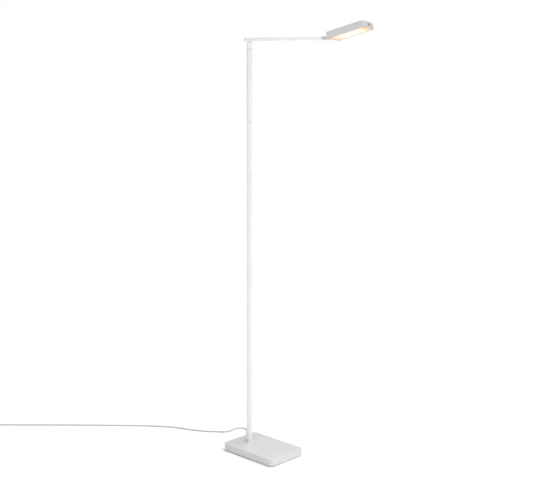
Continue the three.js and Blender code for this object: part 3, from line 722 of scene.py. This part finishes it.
def add_housing():
    top = HEAD_BOTTOM + HEAD_HEIGHT
    ceiling = top - HEAD_WALL
    middle = HEAD_START + HEAD_LENGTH / 2
    housing = shell(
        HEAD_LENGTH,
        HEAD_WIDTH,
        HEAD_CORNER,
        [
            (HEAD_WALL, ceiling),
            (HEAD_WALL, HEAD_BOTTOM + 0.3),
            (HEAD_WALL - 0.3, HEAD_BOTTOM),
            (0.5, HEAD_BOTTOM),
            (0.15, HEAD_BOTTOM + 0.15),
            (0, HEAD_BOTTOM + 0.5),
            *quarter(HEAD_EDGE, 0, top, 8),
        ],
        12,
    )
    shifted(housing, x=middle)
    bore = turned([(BUTTON_RADIUS + GAP, -5), (BUTTON_RADIUS + GAP, 5)])
    shifted(bore, HEAD_START + HEAD_LENGTH, BUTTON_Y, BUTTON_Z, TO_X)
    place(carve(housing, bore), "head_shell", HEAD_FRAME, "head_paint", "head", ["head_housing"])


def panel_screw_places():
    y = HEAD_WIDTH / 2 - PANEL_SCREW_INSET
    near = HEAD_START + PANEL_SCREW_INSET
    far = HEAD_START + HEAD_LENGTH - PANEL_SCREW_INSET
    return [(near, -y), (near, y), (far, -y), (far, y)]


def add_panel():
    slack = HEAD_WALL + GAP
    bottom = HEAD_BOTTOM + GAP
    top = bottom + PANEL_THICKNESS
    sheet = shell(
        HEAD_LENGTH,
        HEAD_WIDTH,
        HEAD_CORNER,
        [(slack + 0.3, bottom), (slack, bottom + 0.3), (slack, top - 0.2), (slack + 0.2, top)],
        12,
    )
    sheet_map = sheet.loops.layers.uv.new("sheet")
    for face in sheet.faces:
        for loop in face.loops:
            loop[sheet_map].uv = (loop.vert.co.x * MM, loop.vert.co.y * MM)
    shifted(sheet, x=HEAD_START + HEAD_LENGTH / 2)
    place(sheet, "opal_panel", HEAD_FRAME, "opal_diffuser", "head", ["diffuser_panel"])

    for number, (x, y) in enumerate(panel_screw_places(), 1):
        screw = screw_head(2.5, 0.9)
        home = HEAD_FRAME @ Matrix.Translation((x, y, bottom - 0.1)) @ Matrix.Rotation(pi, 4, "X")
        replaced = [f"panel_screw_{number}"]
        place(screw, f"panel_fixing_screw_{number}", home, "blackened_steel", "head", replaced)


def add_button():
    """A round cap with a soft rim and a slightly dished face."""
    wall = HEAD_LENGTH + HEAD_START
    rim = 0.6
    steps = 4
    profile = [(BUTTON_RADIUS, -3), (BUTTON_RADIUS, 0.5)]
    for i in range(1, steps + 1):
        angle = radians(90 * i / steps)
        profile.append((BUTTON_RADIUS - rim * (1 - cos(angle)), 0.5 + rim * sin(angle)))
    profile += [(BUTTON_RADIUS - 1.4, 1.05), (1.5, 0.85)]
    home = HEAD_FRAME @ Matrix.Translation((wall, BUTTON_Y, BUTTON_Z)) @ TO_X
    place(turned(profile, 48), "power_button", home, "black_plastic", "button", ["push_button"])


# ---------- what is on the cord ----------
def add_tie():
    """A strap once round the section of the coil."""
    reach = CORD_DIAMETER + 2 * GAP
    low = COIL_BOTTOM - GAP
    high = COIL_BOTTOM + 2 * CORD_DIAMETER + GAP
    rings = []
    corners = [(reach, low, -90), (reach, high, 0), (-reach, high, 90), (-reach, low, 180)]
    for x, z, start in corners:
        for i in range(5):
            angle = radians(start + 90 * i / 4)
            rings.append((x, z, cos(angle), sin(angle)))
    strap = loft(
        [
            [(x + grow * c, y, z + grow * s) for x, z, c, s in rings]
            for grow, y in ((0.1, -3.8), (0.1, 3.8), (0.55, 3.8), (0.55, -3.8))
        ],
        closed=True,
    )
    home = COIL_FRAME @ Matrix.Rotation(radians(TIE_ANGLE), 4, "Z") @ Matrix.Translation((COIL_RADIUS, 0, 0))
    return place(strap, "cord_tie", home, "black_plastic", "stand", ["coil_tie"], 0.08, 2)


def oval(half_width, half_height, along, power, steps=48):
    """A rounded cross section at one distance along Y; a higher power is squarer."""
    points = []
    for i in range(steps):
        angle = 2 * pi * i / steps
        c, s = cos(angle), sin(angle)
        x = half_width * abs(c) ** (2 / power) * (1 if c >= 0 else -1)
        z = half_height * abs(s) ** (2 / power) * (1 if s >= 0 else -1)
        points.append((x, along, z))
    return points


def add_plug():
    sections = [
        (2.8, 2.8, 0.0, 2), (3.3, 3.3, 0.3, 2), (3.6, 3.6, 4, 2), (4.0, 4.0, 9, 2), (4.5, 4.5, 14, 2),
        (5.6, 5.2, 17, 2.2), (8.4, 6.0, 21, 2.6), (12.2, 6.4, 26.5, 3.2), (14.8, 6.5, 31, 3.8),
        (16.2, 6.5, 37, 4.2), (17.0, 6.5, 43, 4.4), (17.4, 6.5, 48.6, 4.6), (17.0, 6.1, 49.7, 4.6),
        (16.2, 5.4, 50, 4.6),
    ]
    body = loft([oval(*section) for section in sections])
    sides = (-PLUG_PIN_X, PLUG_PIN_X)
    sockets = [shifted(turned([(2.3, -1), (2.3, 8)], 32), x, 47.3, turn=TO_Y) for x in sides]
    body = carve(body, *sockets)
    pieces = [place(body, "plug_shell", PLUG_FRAME, "white_plastic", "stand", ["plug_body"])]
    for number, x in enumerate(sides, 1):
        pin = turned([(2, 0), (2, 21.2), (1.85, 21.9), (1.5, 22.3), (0.9, 22.5)], 40)
        home = PLUG_FRAME @ Matrix.Translation((x, 47.6, 0)) @ TO_Y
        pieces.append(place(pin, f"plug_contact_{number}", home, "brass", "stand", [f"plug_pin_{number}"]))
    return pieces


# ---------- surroundings ----------
def add_floor():
    made = bmesh.new()
    bmesh.ops.create_grid(made, x_segments=4, y_segments=4, size=40)
    data = bpy.data.meshes.new("floor")
    made.to_mesh(data)
    made.free()
    floor = bpy.data.objects.new("floor", data)
    bpy.context.scene.collection.objects.link(floor)
    material, nodes, links, shader = new_material("floor")
    tone = two_tone(nodes, links, noise(nodes, links, 3, 4), (0.93, 0.93, 0.93), (0.95, 0.95, 0.95))
    links.new(tone, shader.inputs["Base Color"])
    shader.inputs["Roughness"].default_value = 0.9
    shader.inputs["Specular IOR Level"].default_value = 0.1
    shader.inputs["Emission Color"].default_value = (1, 1, 1, 1)
    shader.inputs["Emission Strength"].default_value = FLOOR_GLOW
    data.materials.append(material)


def add_sun(name, strength, spread, tilt, heading):
    """A soft light from tilt degrees off the vertical, towards a compass heading in the XY plane."""
    data = bpy.data.lights.new(name, "SUN")
    data.energy = strength
    data.angle = radians(spread)
    light = bpy.data.objects.new(name, data)
    light.rotation_euler = (0, radians(tilt), radians(heading))
    bpy.context.scene.collection.objects.link(light)


def add_world():
    """White behind the object, and a little dimmer as the light that falls on it."""
    world = bpy.data.worlds.new("studio")
    world.use_nodes = True
    nodes = world.node_tree.nodes
    links = world.node_tree.links
    backdrop = nodes["Background"]
    backdrop.inputs["Color"].default_value = (1, 1, 1, 1)
    backdrop.inputs["Strength"].default_value = BACKDROP
    fill = nodes.new("ShaderNodeBackground")
    fill.inputs["Color"].default_value = (1, 1, 1, 1)
    fill.inputs["Strength"].default_value = FILL
    path = nodes.new("ShaderNodeLightPath")
    mix = nodes.new("ShaderNodeMixShader")
    links.new(path.outputs["Is Camera Ray"], mix.inputs["Fac"])
    links.new(fill.outputs["Background"], mix.inputs[1])
    links.new(backdrop.outputs["Background"], mix.inputs[2])
    links.new(mix.outputs["Shader"], nodes["World Output"].inputs["Surface"])
    bpy.context.scene.world = world


# ---------- making ----------
add_camera()
cord = add_cord()
dress(cord, "cord_sheath")
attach(cord, "stand")
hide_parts("mains_cord", "mains_cord_coil", "mains_cord_tail")

for entry in frame["record"]["subparts"]:
    dress(frame["nodes"][entry["node"]], entry["material_slot"])

boot = add_strain_relief()
tie = add_tie()
plug = add_plug()

add_base()
add_pole()
add_arm()
add_tongue()
add_yoke()
add_tilt_pin()
add_housing()
add_panel()
add_button()

add_floor()
add_world()
add_sun("overhead", 2.43, 60, 20, 60)
add_sun("front_right", 0.75, 24, 55, -7)
add_sun("front_left", 0.6, 24, 55, -79)
bpy.context.scene.view_settings.view_transform = "Standard"
